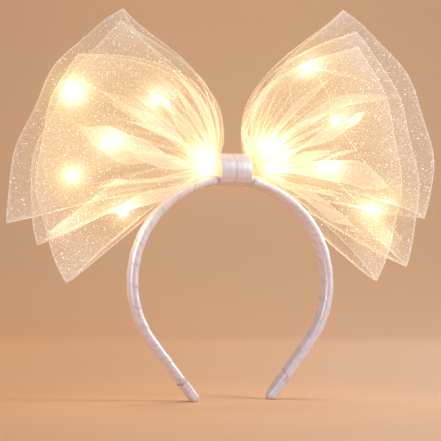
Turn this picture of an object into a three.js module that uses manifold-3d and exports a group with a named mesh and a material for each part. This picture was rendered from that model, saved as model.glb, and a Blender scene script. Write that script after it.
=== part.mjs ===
// Light-up bow headband: a ribbon-wound hoop that stands on its two tips, with a bow of glitter net
// tied to its top by two turns of ribbon, and a string of small lamps inside each half of the bow.
// Millimetres, +Z up, the front towards -Y. The origin lies on the surface that the tips stand on,
// midway between them.
import * as THREE from 'three';
import { mergeVertices } from 'three/addons/utils/BufferGeometryUtils.js';
import Module from 'manifold-3d';

// Driving dimensions
const CLEARANCE = 0.35; // gap between neighbouring pieces
const RIBBON = 1.2; // wall of the folded satin ribbon
const NET_WALL = 1.0; // wall of the net, with the air in its mesh

const BAND = {
  radius: 66, // centre line of the upper half circle
  lowerRadius: 61.5, // centre line of each arm, where it turns inwards
  lowerTurn: 38, // degrees that each arm turns inwards
  straight: 44.7, // straight run down to each tip
  depth: 11, // section, from front to back
  thickness: 4.6, // section, from the head outwards
  corner: 2, // rounding of the section's corners
  cornerShare: 0.42, // the most that a corner takes of a thin section
  cornerSteps: 2,
  stations: 40,
};

const TIP = {
  cover: 12, // length of the ribbon cover on each tip
  depth: 10, // section at the very end, from front to back
  press: 0.8, // how far the round end is pressed flat where it stands
  roundTurn: 75, // degrees that the end's rounding turns before it closes
  stations: 4, // rings along the cover, and again round its end
};

const KNOT = {
  halfWidth: 10.5,
  lap: 1.6, // how far the over turn covers the under turn
  lapEnd: 4, // where the over turn comes down beside the under turn
  halfDepth: 5.85, // inside, from the middle to the front
  height: 17.6, // inside, from below the hoop to the top of the gathered net
  wall: 1, // wall of the ribbon
  crown: 0.5, // how far the middle of the ribbon stands proud of its edges
  crownSteps: 4,
  stations: 28,
};

const NECK = {
  x: 13, // where the gathered net leaves the knot and starts to spread
  lowAngle: -9, // spread at the knot, degrees above the horizontal
  highAngle: 104,
  lowPower: 2, // how soon the spread reaches the corners' own angles
  highPower: 1.2,
};

// One row for each loop of net. Angles are the directions of the loop's lower and upper corners seen
// from the knot, in degrees above the horizontal. Reach is the distance from the knot to each corner,
// crown how much further the fold between them bows out, and bend the degrees by which the upper edge
// bows up on its way. Fullness is the half depth of the loop.
const NETS = [
  {
    name: 'net_outer', neckGap: 5, neckHeight: 7.2, fullness: 24,
    left: { lowAngle: -14.7, lowReach: 135.8, highAngle: 58.1, highReach: 113, crown: -0.03, bend: -2 },
    right: { lowAngle: -10.9, lowReach: 128.7, highAngle: 58.6, highReach: 126.8, crown: 0.06, bend: 1.3 },
  },
  {
    name: 'net_middle', neckGap: 3.3, neckHeight: 9.4, fullness: 17,
    left: { lowAngle: -22.9, lowReach: 122, highAngle: 54.6, highReach: 105.7, crown: 0.02, bend: -2 },
    right: { lowAngle: -27, lowReach: 126.2, highAngle: 50.4, highReach: 119.6, crown: -0.02, bend: 0 },
  },
  {
    name: 'net_inner', neckGap: 1.6, neckHeight: 10.5, fullness: 11,
    left: { lowAngle: -36.7, lowReach: 117.8, highAngle: 34.9, highReach: 107.8, crown: 0, bend: 0 },
    right: { lowAngle: -37, lowReach: 112, highAngle: 46.3, highReach: 112, crown: -0.03, bend: -1 },
  },
];

// How the depth of every loop runs: blunt at the fold, drawn together towards the upper edge
const LOOP_DEPTH = { foldPower: 0.8, pinch: 0.55, pinchStart: 0.7 };

const NET_GRID = {
  alongs: [0, 0.12, 0.27, 0.44, 0.62, 0.8, 0.93, 1], // sections from the knot to the fold
  across: 18, // cells from the lower edge to the upper edge
};

// The gathers: soft folds that run out from the knot and deepen the loops where they rise
const PLEATS = {
  count: 4.5,
  depth: 0.22, // share of the loop's depth
  rise: 45, // distance from the knot at which the folds reach their full depth
  reach: 130, // distance over which the folds' fan narrows
  lowAngles: [-9, -38], // the fan's lower side at the knot and at its reach
  highAngles: [95, 57], // the fan's upper side at the knot and at its reach
  phases: { left: 0.35, right: 0.14 }, // turns
};

const WIRE = { radius: 0.5, sides: 5, steps: 56 };
const LAMP = { radius: 2, halfLength: 2.6, endRadius: 1.2, sides: 8, arcSteps: 4 };

const FLOOR = { width: 200, depth: 20 }; // block that cuts the tips flat

// The wire's route through each half of the bow, out from the knot and back. Places are x and z from
// the middle of the headband, on the plane between the front and the back of the bow.
const WIRE_ROUTES = {
  left: [
    { x: -4, z: 147.5, lamp: false },
    { x: -20, z: 147, lamp: true },
    { x: -46, z: 131, lamp: false },
    { x: -72.5, z: 117.5, lamp: true },
    { x: -92, z: 122, lamp: false },
    { x: -104.5, z: 139, lamp: true },
    { x: -91, z: 148, lamp: false },
    { x: -83, z: 159.5, lamp: true },
    { x: -97, z: 174, lamp: false },
    { x: -104.5, z: 190.5, lamp: true },
    { x: -90, z: 199, lamp: false },
    { x: -52, z: 189, lamp: true },
    { x: -33, z: 168, lamp: false },
    { x: -22, z: 156, lamp: true },
    { x: -13, z: 152, lamp: false },
    { x: -4, z: 151.5, lamp: false },
  ],
  right: [
    { x: 4, z: 147.5, lamp: false },
    { x: 27, z: 148.5, lamp: true },
    { x: 62.5, z: 149.5, lamp: true },
    { x: 84, z: 133, lamp: false },
    { x: 99, z: 124.5, lamp: true },
    { x: 104, z: 139, lamp: false },
    { x: 88, z: 164, lamp: false },
    { x: 73, z: 183, lamp: true },
    { x: 66, z: 204, lamp: false },
    { x: 52, z: 216, lamp: true },
    { x: 41, z: 207, lamp: false },
    { x: 43, z: 174, lamp: false },
    { x: 30, z: 159.5, lamp: true },
    { x: 21, z: 163.5, lamp: true },
    { x: 13, z: 153, lamp: false },
    { x: 4, z: 151.5, lamp: false },
  ],
};

const SIDES = { left: -1, right: 1 };

// Sizes that follow from the driving dimensions
const radians = THREE.MathUtils.degToRad;
const degrees = THREE.MathUtils.radToDeg;
const lerp = THREE.MathUtils.lerp;
const smoothstep = THREE.MathUtils.smoothstep;

const lowerTurn = radians(BAND.lowerTurn);
const upperArc = BAND.radius * Math.PI / 2;
const lowerArc = BAND.lowerRadius * lowerTurn;
const tipRound = BAND.thickness / 2;
const tipHeight = tipRound - TIP.press;
const hoopCentre = tipHeight + BAND.lowerRadius * Math.sin(lowerTurn) + BAND.straight * Math.cos(lowerTurn);
const armLength = upperArc + lowerArc + BAND.straight;
const bandTop = hoopCentre + BAND.radius + BAND.thickness / 2;
const bandInner = bandTop - BAND.thickness;
const innerRadius = BAND.radius - BAND.thickness / 2;
const knotSag = innerRadius - Math.sqrt(innerRadius ** 2 - KNOT.halfWidth ** 2);
const knotBottom = bandInner - knotSag - CLEARANCE;
const neckBottom = bandTop + CLEARANCE;
const neckMiddle = neckBottom + NETS[0].neckHeight / 2;
const coverFit = RIBBON + CLEARANCE;
const coverMouth = armLength - TIP.cover;

const wasm = await Module();
wasm.setup();

function material(colour, roughness, metalness = 0) {
  return new THREE.MeshStandardMaterial({ color: colour, roughness, metalness });
}

// A closed body from its points and triangles, turned so that its faces point out
function closedGeometry(points, triangles) {
  let volume = 0;
  const normal = new THREE.Vector3();
  for (const [a, b, c] of triangles) {
    volume += points[a].dot(normal.crossVectors(points[b], points[c]));
  }
  const indices = triangles.flatMap(([a, b, c]) => (volume > 0 ? [a, b, c] : [a, c, b]));
  const geometry = new THREE.BufferGeometry().setFromPoints(points);
  geometry.setIndex(indices);
  return geometry;
}

// Two triangles for each cell between neighbouring closed rows of point numbers. A turned cell is
// split along its other diagonal.
function stitch(rows, closed, isTurned = () => false) {
  const triangles = [];
  const rowCount = closed ? rows.length : rows.length - 1;
  for (let i = 0; i < rowCount; i += 1) {
    const here = rows[i];
    const next = rows[(i + 1) % rows.length];
    here.forEach((a, j) => {
      const k = (j + 1) % here.length;
      const [b, c, d] = [next[j], next[k], here[k]];
      triangles.push(...(isTurned(i, j) ? [[a, b, d], [b, c, d]] : [[a, b, c], [a, c, d]]));
    });
  }
  return triangles;
}

// A body lofted through closed rings of points, with a flat fan over its first and last ring
function loft(rings) {
  const points = rings.flat();
  const size = rings[0].length;
  const rows = rings.map((ring, i) => ring.map((point, j) => i * size + j));
  const triangles = stitch(rows, false);
  const capRows = [[rows[0], true], [rows.at(-1), false]];
  for (const [row, first] of capRows) {
    const centre = new THREE.Vector3();
    row.forEach((j) => centre.addScaledVector(points[j], 1 / size));
    const hub = points.push(centre) - 1;
    row.forEach((a, j) => {
      const b = row[(j + 1) % size];
      triangles.push(first ? [hub, a, b] : [hub, b, a]);
    });
  }
  return closedGeometry(points, triangles);
}

// Place on the hoop's centre line at a distance from the apex, with its direction away from the head
function bandStation(distance, side) {
  const centre = new THREE.Vector3();
  const outward = new THREE.Vector3();
  if (distance < upperArc) {
    const angle = distance / BAND.radius;
    outward.set(Math.sin(angle), 0, Math.cos(angle));
    centre.set(0, 0, hoopCentre).addScaledVector(outward, BAND.radius);
  } else {
    const angle = Math.min((distance - upperArc) / BAND.lowerRadius, lowerTurn);
    const beyond = Math.max(distance - upperArc - lowerArc, 0);
    outward.set(Math.cos(angle), 0, -Math.sin(angle));
    centre.set(BAND.radius - BAND.lowerRadius, 0, hoopCentre);
    centre.addScaledVector(outward, BAND.lowerRadius);
    centre.x -= beyond * Math.sin(angle);
    centre.z -= beyond * Math.cos(angle);
  }
  centre.x *= side;
  outward.x *= side;
  return { centre, outward };
}

// A ring round the hoop: its section, with round corners, at a distance from the apex
function bandRing(distance, side, depth, thickness) {
  const { centre, outward } = bandStation(distance, side);
  const corner = Math.min(BAND.corner, thickness * BAND.cornerShare);
  const across = depth / 2 - corner;
  const away = thickness / 2 - corner;
  const corners = [[across, away], [-across, away], [-across, -away], [across, -away]];
  return corners.flatMap(([x, y], quarter) => {
    const start = quarter * Math.PI / 2;
    const arc = new THREE.EllipseCurve(x, y, corner, corner, start, start + Math.PI / 2);
    return arc.getPoints(BAND.cornerSteps).map((place) => {
      const point = centre.clone().addScaledVector(outward, place.y);
      point.y += place.x;
      return point;
    });
  });
}

// Depth of the hoop from front to back, which narrows along the tip covers
function depthAt(distance) {
  const along = THREE.MathUtils.clamp((distance - coverMouth) / TIP.cover, 0, 1);
  return lerp(BAND.depth, TIP.depth, along);
}

// A ring inside a tip cover, set in from the cover's outer face all round
function insetRing(distance, side, inset) {
  return bandRing(distance, side, depthAt(distance) - 2 * inset, BAND.thickness - 2 * inset);
}

// The ribbon-wound hoop, thinner inside the two tip covers
function bandGeometry() {
  const reach = coverMouth - CLEARANCE;
  const coreEnd = armLength - coverFit;
  const rings = [insetRing(coreEnd, SIDES.left, coverFit), insetRing(reach, SIDES.left, coverFit)];
  for (let i = 0; i <= BAND.stations; i += 1) {
    const along = lerp(-reach, reach, i / BAND.stations);
    const side = along < 0 ? SIDES.left : SIDES.right;
    rings.push(bandRing(Math.abs(along), side, BAND.depth, BAND.thickness));
  }
  rings.push(insetRing(reach, SIDES.right, coverFit), insetRing(coreEnd, SIDES.right, coverFit));
  return loft(rings);
}

// The last turn of ribbon: a cup over the end of the hoop, pressed flat where it stands
function tipCoverGeometry(side) {
  const pocketEnd = armLength - RIBBON;
  const rings = [insetRing(pocketEnd, side, RIBBON), insetRing(coverMouth, side, RIBBON)];
  for (let i = 0; i <= TIP.stations; i += 1) {
    const distance = lerp(coverMouth, armLength, i / TIP.stations);
    rings.push(bandRing(distance, side, depthAt(distance), BAND.thickness));
  }
  for (let i = 1; i <= TIP.stations; i += 1) {
    const turn = radians(TIP.roundTurn) * i / TIP.stations;
    const drawnIn = 2 * tipRound * (1 - Math.cos(turn));
    const distance = armLength + tipRound * Math.sin(turn);
    rings.push(bandRing(distance, side, TIP.depth - drawnIn, BAND.thickness - drawnIn));
  }
  const floor = new THREE.BoxGeometry(FLOOR.width, FLOOR.width, FLOOR.depth);
  floor.translate(0, 0, -FLOOR.depth / 2);
  return cut(loft(rings), floor);
}

// A merged, closed geometry as a solid for cutting
function solid(geometry) {
  const bare = geometry.clone();
  bare.deleteAttribute('normal');
  bare.deleteAttribute('uv');
  const merged = mergeVertices(bare);
  const vertProperties = new Float32Array(merged.attributes.position.array);
  const triVerts = new Uint32Array(merged.index.array);
  return new wasm.Manifold(new wasm.Mesh({ numProp: 3, vertProperties, triVerts }));
}

function cut(geometry, tool) {
  const mesh = solid(geometry).subtract(solid(tool)).getMesh();
  const result = new THREE.BufferGeometry();
  result.setAttribute('position', new THREE.BufferAttribute(mesh.vertProperties, 3));
  result.setIndex(new THREE.BufferAttribute(mesh.triVerts, 1));
  return result;
}

// The way that the knot's ribbon takes round the hoop and the gathered net, seen from the side
function knotPath() {
  const corner = BAND.corner + CLEARANCE;
  const shoulder = knotBottom + KNOT.height - KNOT.halfDepth;
  const path = new THREE.Path();
  path.moveTo(0, knotBottom);
  path.absarc(KNOT.halfDepth - corner, knotBottom + corner, corner, -Math.PI / 2, 0);
  path.absarc(0, shoulder, KNOT.halfDepth, 0, Math.PI);
  path.absarc(corner - KNOT.halfDepth, knotBottom + corner, corner, Math.PI, Math.PI * 1.5);
  path.closePath();
  return path;
}

// A turn of the knot: a strip with a given profile, x along the hoop and its height off the path,
// carried round the path
function knotTurnGeometry(profile) {
  const path = knotPath();
  const points = [];
  const rows = [];
  for (let i = 0; i < KNOT.stations; i += 1) {
    const place = path.getPointAt(i / KNOT.stations);
    const tangent = path.getTangentAt(i / KNOT.stations);
    rows.push(profile.map(({ x, off }) => {
      const y = place.x + tangent.y * off;
      const z = place.y - tangent.x * off;
      return points.push(new THREE.Vector3(x, y, z)) - 1;
    }));
  }
  return closedGeometry(points, stitch(rows, true));
}

// Profile of one turn: the inner face from one edge to the other, then the crowned outer face back
function knotProfile(inner) {
  const first = inner[0];
  const last = inner.at(-1);
  const outer = [];
  for (let i = 0; i <= KNOT.crownSteps; i += 1) {
    const along = i / KNOT.crownSteps;
    const x = lerp(last.x, first.x, along);
    const crown = KNOT.crown * 4 * along * (1 - along);
    outer.push({ x, off: offAt(inner, x) + KNOT.wall + crown });
  }
  return [...inner, ...outer];
}

// Height of a stepped inner face at x
function offAt(inner, x) {
  const k = Math.max(inner.findIndex((point) => point.x >= x), 1);
  const [a, b] = [inner[k - 1], inner[k]];
  return lerp(a.off, b.off, (x - a.x) / (b.x - a.x));
}

// Share by which the gathers deepen or flatten a loop at a place x, z
function pleat(sideName, x, z) {
  const across = Math.abs(x) - NECK.x;
  const up = z - neckMiddle;
  const distance = Math.hypot(across, up);
  const out = Math.min(distance / PLEATS.reach, 1);
  const low = lerp(...PLEATS.lowAngles, out);
  const high = lerp(...PLEATS.highAngles, out);
  const fan = (degrees(Math.atan2(up, across)) - low) / (high - low);
  const turns = PLEATS.count * fan + PLEATS.phases[sideName];
  const depth = PLEATS.depth * smoothstep(distance, 0, PLEATS.rise);
  return 1 + depth * Math.cos(2 * Math.PI * turns);
}

// A place on the middle of a loop's wall: along from the knot (0) to the fold (1), across from the
// lower edge (0) to the upper edge (1), on the front (-1) or the back (1)
function netPoint(net, sideName, along, across, face) {
  const corners = net[sideName];
  const low = lerp(corners.lowAngle, NECK.lowAngle, (1 - along) ** NECK.lowPower);
  const bend = corners.bend * 4 * along * (1 - along);
  const high = lerp(corners.highAngle, NECK.highAngle, (1 - along) ** NECK.highPower) + bend;
  const angle = radians(lerp(low, high, across));
  const crown = 1 + corners.crown * 4 * across * (1 - across) * along;
  const reach = lerp(corners.lowReach, corners.highReach, across) * crown * along;
  const x = SIDES[sideName] * (NECK.x + reach * Math.cos(angle));
  const z = neckBottom + net.neckHeight * across + reach * Math.sin(angle);
  const full = Math.max(Math.sin(Math.PI * along), 0) ** LOOP_DEPTH.foldPower;
  const pinch = 1 - LOOP_DEPTH.pinch * smoothstep(across, LOOP_DEPTH.pinchStart, 1);
  const halfDepth = net.neckGap * (1 - along) + net.fullness * full * pinch;
  return new THREE.Vector3(x, face * halfDepth * pleat(sideName, x, z), z);
}

// Middle of a ring of net, row by row: out along the left front from its fold to the knot, on to the
// right fold, and home along the back
function netRows(net) {
  const outward = NET_GRID.alongs;
  const inward = outward.toReversed();
  const runs = [
    { side: 'left', face: -1, alongs: inward },
    { side: 'right', face: -1, alongs: outward },
    { side: 'right', face: 1, alongs: inward.slice(1) },
    { side: 'left', face: 1, alongs: outward.slice(0, -1) },
  ];
  const columns = Array.from({ length: NET_GRID.across + 1 }, (_, j) => j / NET_GRID.across);
  return runs.flatMap(({ side, face, alongs }) => alongs.map((along) => ({
    points: columns.map((across) => netPoint(net, side, along, across, face)),
    isOutward: alongs.at(-1) > alongs[0],
  })));
}

// A ring of net with its wall: each row's points moved half a wall out and half a wall in. Both faces
// of the wall are split along the same diagonals, so that they keep their distance.
function netGeometry(net) {
  const rows = netRows(net);
  const points = [];
  const sections = rows.map(({ points: row }, i) => {
    const before = rows.at(i - 1).points;
    const after = rows[(i + 1) % rows.length].points;
    const outer = [];
    const inner = [];
    row.forEach((point, j) => {
      const alongRing = after[j].clone().sub(before[j]);
      const acrossRing = row[Math.min(j + 1, row.length - 1)].clone().sub(row[Math.max(j - 1, 0)]);
      const normal = alongRing.cross(acrossRing).normalize().multiplyScalar(NET_WALL / 2);
      outer.push(points.push(point.clone().add(normal)) - 1);
      inner.push(points.push(point.clone().sub(normal)) - 1);
    });
    return [...outer, ...inner.toReversed()];
  });
  const width = NET_GRID.across + 1;
  const isTurned = (i, j) => rows[i].isOutward !== j >= width;
  return closedGeometry(points, stitch(sections, true, isTurned));
}

function wireCurve(route) {
  return new THREE.CatmullRomCurve3(route.map(({ x, z }) => new THREE.Vector3(x, 0, z)));
}

function wireGeometry(curve) {
  const outline = new THREE.EllipseCurve(0, 0, WIRE.radius, WIRE.radius);
  const section = new THREE.Shape(outline.getPoints(WIRE.sides));
  return new THREE.ExtrudeGeometry(section, { steps: WIRE.steps, extrudePath: curve, bevelEnabled: false });
}

// The straight step of the wire whose middle lies nearest to a place
function nearestStep(curve, place) {
  const stops = curve.getSpacedPoints(WIRE.steps);
  const steps = stops.slice(1).map((end, i) => ({
    middle: stops[i].clone().lerp(end, 0.5),
    direction: end.clone().sub(stops[i]).normalize(),
  }));
  const distance = (step) => step.middle.distanceTo(place);
  return steps.reduce((best, step) => (distance(step) < distance(best) ? step : best));
}

// A lamp: a drop of clear resin, bored for the wire
function lampGeometry() {
  const bore = WIRE.radius + CLEARANCE;
  const endAngle = Math.asin(LAMP.endRadius / LAMP.radius);
  const arc = new THREE.EllipseCurve(0, 0, LAMP.radius, LAMP.halfLength / Math.cos(endAngle),
    endAngle - Math.PI / 2, Math.PI / 2 - endAngle);
  const profile = [
    new THREE.Vector2(bore, -LAMP.halfLength),
    ...arc.getPoints(LAMP.arcSteps),
    new THREE.Vector2(bore, LAMP.halfLength),
    new THREE.Vector2(bore, -LAMP.halfLength),
  ];
  return new THREE.LatheGeometry(profile, LAMP.sides);
}

// The headband, piece by piece
const headband = new THREE.Group();

function addPiece(name, geometry, finish) {
  const mesh = new THREE.Mesh(geometry, finish);
  mesh.name = name;
  headband.add(mesh);
  return mesh;
}

const satin = () => material(0xe6dfe8, 0.4);
const net = () => material(0xf6e6d6, 0.6);
const copper = () => material(0xb98a5a, 0.35, 1);
const lampResin = () => material(0xfff0c4, 0.2);

addPiece('band', bandGeometry(), satin());

const lapHalf = KNOT.lap / 2;
const underTurn = [{ x: -KNOT.halfWidth, off: 0 }, { x: lapHalf, off: 0 }];
const lapOff = KNOT.wall + KNOT.crown / 2 + CLEARANCE;
const overTurn = [
  { x: -lapHalf, off: lapOff },
  { x: lapHalf + CLEARANCE, off: lapOff },
  { x: KNOT.lapEnd, off: 0 },
  { x: KNOT.halfWidth, off: 0 },
];
addPiece('knot_under', knotTurnGeometry(knotProfile(underTurn)), satin());
addPiece('knot_over', knotTurnGeometry(knotProfile(overTurn)), satin());

for (const loop of NETS) {
  addPiece(loop.name, netGeometry(loop), net());
}

for (const [sideName, side] of Object.entries(SIDES)) {
  addPiece(`tip_cover_${sideName}`, tipCoverGeometry(side), satin());
  const route = WIRE_ROUTES[sideName];
  const curve = wireCurve(route);
  addPiece(`light_wire_${sideName}`, wireGeometry(curve), copper());
  const lampStops = route.filter((stop) => stop.lamp);
  lampStops.forEach(({ x, z }, i) => {
    const { middle, direction } = nearestStep(curve, new THREE.Vector3(x, 0, z));
    const lamp = addPiece(`lamp_${sideName}_${i + 1}`, lampGeometry(), lampResin());
    lamp.position.copy(middle);
    lamp.quaternion.setFromUnitVectors(new THREE.Vector3(0, 1, 0), direction);
  });
}

export default headband;
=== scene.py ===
# %% [markdown]
# # A light-up bow headband
# A hoop wound with satin ribbon carries a large bow of glitter net, and small warm lamps shine inside the
# bow. Every piece is a surface that numpy works out on a grid, laid over the solids of a CAD model, so that
# nothing has to be fitted by eye. Sizes are in millimetres until a mesh is made.

import bpy
import numpy as np
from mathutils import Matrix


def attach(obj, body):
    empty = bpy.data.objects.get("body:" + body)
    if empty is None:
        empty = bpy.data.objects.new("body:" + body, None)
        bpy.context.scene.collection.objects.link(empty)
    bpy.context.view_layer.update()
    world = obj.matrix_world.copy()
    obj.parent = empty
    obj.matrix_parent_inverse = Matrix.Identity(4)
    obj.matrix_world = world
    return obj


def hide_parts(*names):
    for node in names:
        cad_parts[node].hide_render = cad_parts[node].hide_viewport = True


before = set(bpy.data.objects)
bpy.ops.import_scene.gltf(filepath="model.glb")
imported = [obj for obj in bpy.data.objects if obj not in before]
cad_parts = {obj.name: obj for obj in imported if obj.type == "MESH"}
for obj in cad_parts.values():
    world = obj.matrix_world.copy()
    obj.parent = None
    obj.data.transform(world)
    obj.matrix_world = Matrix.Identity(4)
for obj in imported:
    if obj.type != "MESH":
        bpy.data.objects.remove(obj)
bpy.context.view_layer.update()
MM = 0.001
BODY = "root"
SIDES = {"left": -1, "right": 1}
print("frame with", len(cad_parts), "nodes")

# %% [markdown]
# ## The camera
# The photograph was taken from the wearer's right, a little below the knot, with a long lens. The place and
# the tilt were worked out from the hoop's known width, so the camera needs no shift.

# %% Camera
CAMERA_PLACE = (-246.3, -673.9, 59.6)
CAMERA_YAW = -19.46
CAMERA_PITCH = 4.35
CAMERA_LENS = 91.6

camera_data = bpy.data.cameras.new("camera")
camera_data.lens = CAMERA_LENS
camera_data.clip_start = 0.01
camera = bpy.data.objects.new("camera", camera_data)
camera.location = np.array(CAMERA_PLACE) * MM
camera.rotation_euler = np.radians((90 + CAMERA_PITCH, 0, CAMERA_YAW))
scene = bpy.context.scene
scene.collection.objects.link(camera)
scene.camera = camera
print("camera at", [round(c, 3) for c in camera.location])

# %% [markdown]
# ## Grids into meshes
# A surface is a grid of points, row by row. A direction that wraps joins its last line to its first. Values
# that a finish needs, such as how dense the net is, go along as attributes of the points.


# %% Mesh helpers
def mix(low, high, share):
    """The value at a share of the way from low to high."""
    return low + (high - low) * share


def smoothstep(value, low, high):
    """An S-shaped rise from 0 at low to 1 at high."""
    share = np.clip((value - low) / (high - low), 0, 1)
    return share * share * (3 - 2 * share)


def grid_faces(rows, columns, wrap_rows=False, wrap_columns=False):
    """Four-sided faces between the points of a grid that is numbered row by row."""
    row, column = np.meshgrid(
        np.arange(rows if wrap_rows else rows - 1),
        np.arange(columns if wrap_columns else columns - 1),
        indexing="ij",
    )
    next_row = (row + 1) % rows
    next_column = (column + 1) % columns
    corners = (
        row * columns + column,
        next_row * columns + column,
        next_row * columns + next_column,
        row * columns + next_column,
    )
    return np.stack(corners, -1).reshape(-1, 4)


def flatten(values):
    """The values of a grid as one line of numbers or of vectors."""
    return {key: data.reshape(-1, 3) if data.ndim == 3 else data.ravel() for key, data in values.items()}


def flat_place(along, across):
    """Places on flat cloth, along it and across it, as vectors."""
    return np.stack(np.broadcast_arrays(along, across, 0.0), -1)


def sheet_surface(points, values, wrap_rows=False, wrap_columns=False):
    """A grid as a surface: its points, its lists of faces and its values."""
    faces = grid_faces(*points.shape[:2], wrap_rows, wrap_columns)
    return points.reshape(-1, 3), [faces], flatten(values)


def tube_surface(points, values):
    """A grid whose rows are closed rings, with a fan of triangles over its first and its last ring."""
    rows, columns = points.shape[:2]
    ring = np.arange(columns)
    following = (ring + 1) % columns
    hub = np.full(columns, rows * columns)
    start = np.stack([hub, ring, following], 1)
    end = np.stack([hub + 1, following + (rows - 1) * columns, ring + (rows - 1) * columns], 1)
    ends = [0, rows - 1]
    capped = np.concatenate([points.reshape(-1, 3), points[ends].mean(1)])
    quads = grid_faces(rows, columns, wrap_columns=True)
    kept = {
        key: np.concatenate([line, values[key][ends].mean(1)]) for key, line in flatten(values).items()
    }
    return capped, [quads, start, end], kept


def join_surfaces(surfaces):
    """Several surfaces as one."""
    starts = np.cumsum([0] + [len(points) for points, _, _ in surfaces])
    points = np.concatenate([points for points, _, _ in surfaces])
    faces = [face + start for (_, lists, _), start in zip(surfaces, starts) for face in lists]
    values = {key: np.concatenate([v[key] for _, _, v in surfaces]) for key in surfaces[0][2]}
    return points, faces, values


def signed_volume(points, faces):
    """Volume inside a closed mesh, negative where its faces point inwards: the sum of the pyramids from the
    origin to each face."""
    total = 0.0
    for lists in faces:
        corners = points[lists]
        for k in range(1, lists.shape[1] - 1):
            total += np.einsum("ij,ij->", corners[:, 0], np.cross(corners[:, k], corners[:, k + 1])) / 6
    return total


def make_piece(name, surface, finish, closed=True):
    """A smooth mesh object at the origin from a surface in millimetres, with its values as attributes."""
    points, faces, values = surface
    if closed and signed_volume(points, faces) < 0:
        faces = [lists[:, ::-1] for lists in faces]
    mesh = bpy.data.meshes.new(name)
    mesh.from_pydata((points * MM).tolist(), [], [face for lists in faces for face in lists.tolist()])
    for key, data in values.items():
        kind, field = ("FLOAT", "value") if data.ndim == 1 else ("FLOAT_VECTOR", "vector")
        attribute = mesh.attributes.new(key, kind, "POINT")
        attribute.data.foreach_set(field, np.ascontiguousarray(data, np.float32).ravel())
    mesh.polygons.foreach_set("use_smooth", np.ones(len(mesh.polygons), bool))
    mesh.materials.append(finish)
    mesh.update()
    piece = bpy.data.objects.new(name, mesh)
    scene.collection.objects.link(piece)
    print(f"{name}: {len(points)} points, {len(mesh.polygons)} faces")
    return piece


def dress(piece, slot, *nodes):
    """The piece rides on the one body and stands for these nodes. slot is not used."""
    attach(piece, BODY)
    if nodes:
        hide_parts(*nodes)


# %% [markdown]
# ## Shader maths in plain Python
# A finish is a small calculation at every point of a surface. One class wraps a socket, so that adding or
# multiplying two of them adds the Math node that does it.


# %% Shader helpers
class Flow:
    """A node socket that can be used in sums. Its method node makes any other node."""

    def __init__(self, tree, socket=None):
        self.tree = tree
        self.socket = socket

    def node(self, kind, inputs=None, settings=None, output=0):
        """A node of a type, with its settings set first and then its sockets filled or linked."""
        made = self.tree.nodes.new(kind)
        for key, value in (settings or {}).items():
            setattr(made, key, value)
        for key, value in (inputs or {}).items():
            if isinstance(value, Flow):
                self.tree.links.new(value.socket, made.inputs[key])
            else:
                made.inputs[key].default_value = value
        return Flow(self.tree, made.outputs[output] if made.outputs else None)

    def math(self, operation, *others):
        """A Math node on this value and the others."""
        return self.node("ShaderNodeMath", dict(enumerate((self, *others))), {"operation": operation})

    def __add__(self, other):
        return self.math("ADD", other)

    def __mul__(self, other):
        return self.math("MULTIPLY", other)

    def __rsub__(self, other):
        return self.math("MULTIPLY", -1.0) + other

    def rise(self, low, high):
        """An S-shaped rise of this value from 0 at low to 1 at high."""
        inputs = {"Value": self, "From Min": low, "From Max": high}
        return self.node("ShaderNodeMapRange", inputs, {"interpolation_type": "SMOOTHSTEP"})

    def blend(self, first, second):
        """A colour, this share of the way from the first to the second."""
        inputs = {"Factor": self, 6: first, 7: second}
        return self.node("ShaderNodeMix", inputs, {"data_type": "RGBA"}, output=2)

    def stretched(self, *scale):
        """This vector with each of its parts multiplied."""
        inputs = {0: self, 1: scale}
        return self.node("ShaderNodeVectorMath", inputs, {"operation": "MULTIPLY"})

    def noise(self, scale, detail=2.0):
        """Smooth noise at the place that this vector gives."""
        inputs = {"Vector": self, "Scale": scale, "Detail": detail}
        return self.node("ShaderNodeTexNoise", inputs)


def start_finish(name):
    """A new material, and a Flow that makes nodes in it."""
    finish = bpy.data.materials.new(name)
    finish.use_nodes = True
    finish.node_tree.nodes.clear()
    return finish, Flow(finish.node_tree)


def end_finish(flow, inputs):
    """The Principled shader with these sockets, linked to the material's output."""
    shader = flow.node("ShaderNodeBsdfPrincipled", inputs)
    flow.node("ShaderNodeOutputMaterial", {"Surface": shader})


def own_value(flow, name):
    """The piece's own number at the point that is shaded."""
    return flow.node("ShaderNodeAttribute", settings={"attribute_name": name}, output=2)


def own_vector(flow, name):
    """The piece's own vector at the point that is shaded."""
    return flow.node("ShaderNodeAttribute", settings={"attribute_name": name}, output=1)


# %% [markdown]
# ## Satin ribbon
# Satin is woven so that long threads lie on top, all along the ribbon. They give it a soft sheen with fine
# lines in it. The value weave holds the place on the ribbon in millimetres, along it and across it, and a
# second value is 1 at its edges, where a painted shade darkens it. The lines are noise that is stretched
# along the ribbon.

# %% Satin finish
SATIN_LIGHT = (0.77, 0.725, 0.785, 1)
SATIN_DEEP = (0.65, 0.595, 0.67, 1)
SATIN_EDGE_SHADE = (0.55, 0.47, 0.50, 1)

satin, flow = start_finish("satin_ribbon")
weave = own_vector(flow, "weave")
threads = weave.stretched(0.12, 3.2, 1).noise(1.0, 3.0)
sweep = weave.stretched(0.05, 0.35, 1).noise(1.0)
edge_shade = own_value(flow, "edge_shade")
ground = (threads * 0.45 + sweep * 0.55).rise(0.3, 0.72).blend(SATIN_DEEP, SATIN_LIGHT)
# Painted shade: the ribbon's edges are darkened towards a deeper lilac.
end_finish(flow, {
    "Base Color": (edge_shade * 0.75).blend(ground, SATIN_EDGE_SHADE),
    "Metallic": 0.25,
    "Roughness": threads * 0.16 + 0.32,
    "Normal": flow.node("ShaderNodeBump", {"Height": threads, "Strength": 0.2, "Distance": 0.0004}),
    "Specular IOR Level": 0.6,
})
print("satin with", len(satin.node_tree.nodes), "nodes")

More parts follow.
